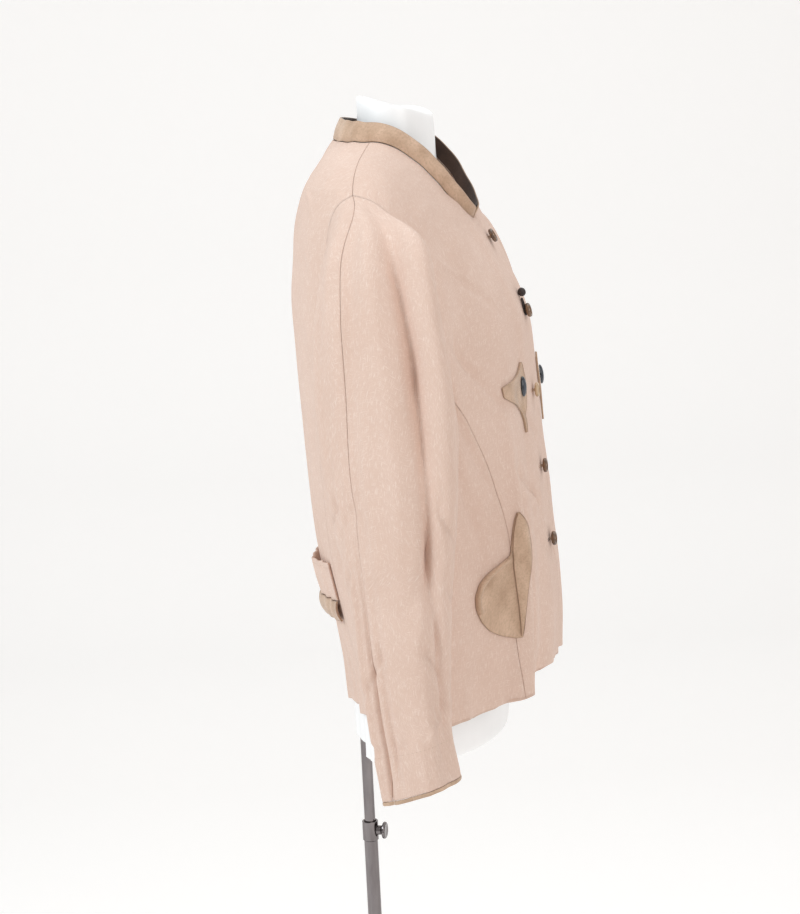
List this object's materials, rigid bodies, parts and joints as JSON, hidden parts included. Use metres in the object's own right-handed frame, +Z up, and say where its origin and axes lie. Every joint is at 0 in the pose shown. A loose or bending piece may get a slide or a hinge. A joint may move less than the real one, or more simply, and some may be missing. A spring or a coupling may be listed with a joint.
{
  "type": "linen blazer on a dress form",
  "caption": "Short linen blazer with suede collar, pockets and half-belt, buttoned up on a limbless white dress form with a telescopic stand.",
  "frame": {"origin": "underside of the round base, on the axis of the pole", "axes": "+Z up, -Y the way the wearer faces, -X towards the wearer's right hand"},
  "size_m": [0.616, 0.3853, 1.467],
  "materials": {
    "linen": "plain-woven slubbed linen, pinkish beige",
    "suede": "soft suede, light brown",
    "brown_leather": "dark brown leather",
    "dark_cord": "dark brown cord",
    "horn": "turned brown horn",
    "dark_stud": "dark grey-blue cabochon",
    "form_white": "smooth white shell",
    "chrome": "chromed tube",
    "base_metal": "brushed round plate"
  },
  "bodies": {
    "stand": {"base": "base_metal", "lower_tube": "chrome", "pole_clamp": "chrome"},
    "screw": {"clamp_screw": "chrome"},
    "pole": {"upper_pole": "chrome"},
    "form": {"dress_form": "form_white", "back_right": "linen", "back_left": "linen", "side_right": "linen", "side_left": "linen", "front_right": "linen", "front_left": "linen", "half_belt": "linen", "collar": "suede", "pocket_right": "suede", "pocket_left": "suede", "pocket_welt_right": "suede", "pocket_welt_left": "suede", "chest_patch_right": "suede", "chest_patch_left": "suede", "half_belt_trim": "suede", "collar_lining": "brown_leather", "cuff_trim_right": "brown_leather", "cuff_trim_left": "brown_leather", "button_cord": "dark_cord", "button_cord_knot": "dark_cord", "button_1": "horn", "button_2": "horn", "button_3": "horn", "button_4": "horn", "button_5": "horn", "chest_stud_right": "dark_stud", "chest_stud_left": "dark_stud"}
  },
  "joints": [
    {"name": "pole_height", "type": "slide", "parent": "stand", "child": "pole", "axis": [0, 0, 1], "range_m": [-0.1, 0.2]},
    {"name": "form_turn", "type": "hinge", "parent": "pole", "child": "form", "pos_m": [0, 0, 0.8], "axis": [0, 0, 1], "continuous": true},
    {"name": "screw_turn", "type": "hinge", "parent": "stand", "child": "screw", "pos_m": [0, -0.0155, 0.66915], "axis": [0, -1, 0], "continuous": true}
  ]
}
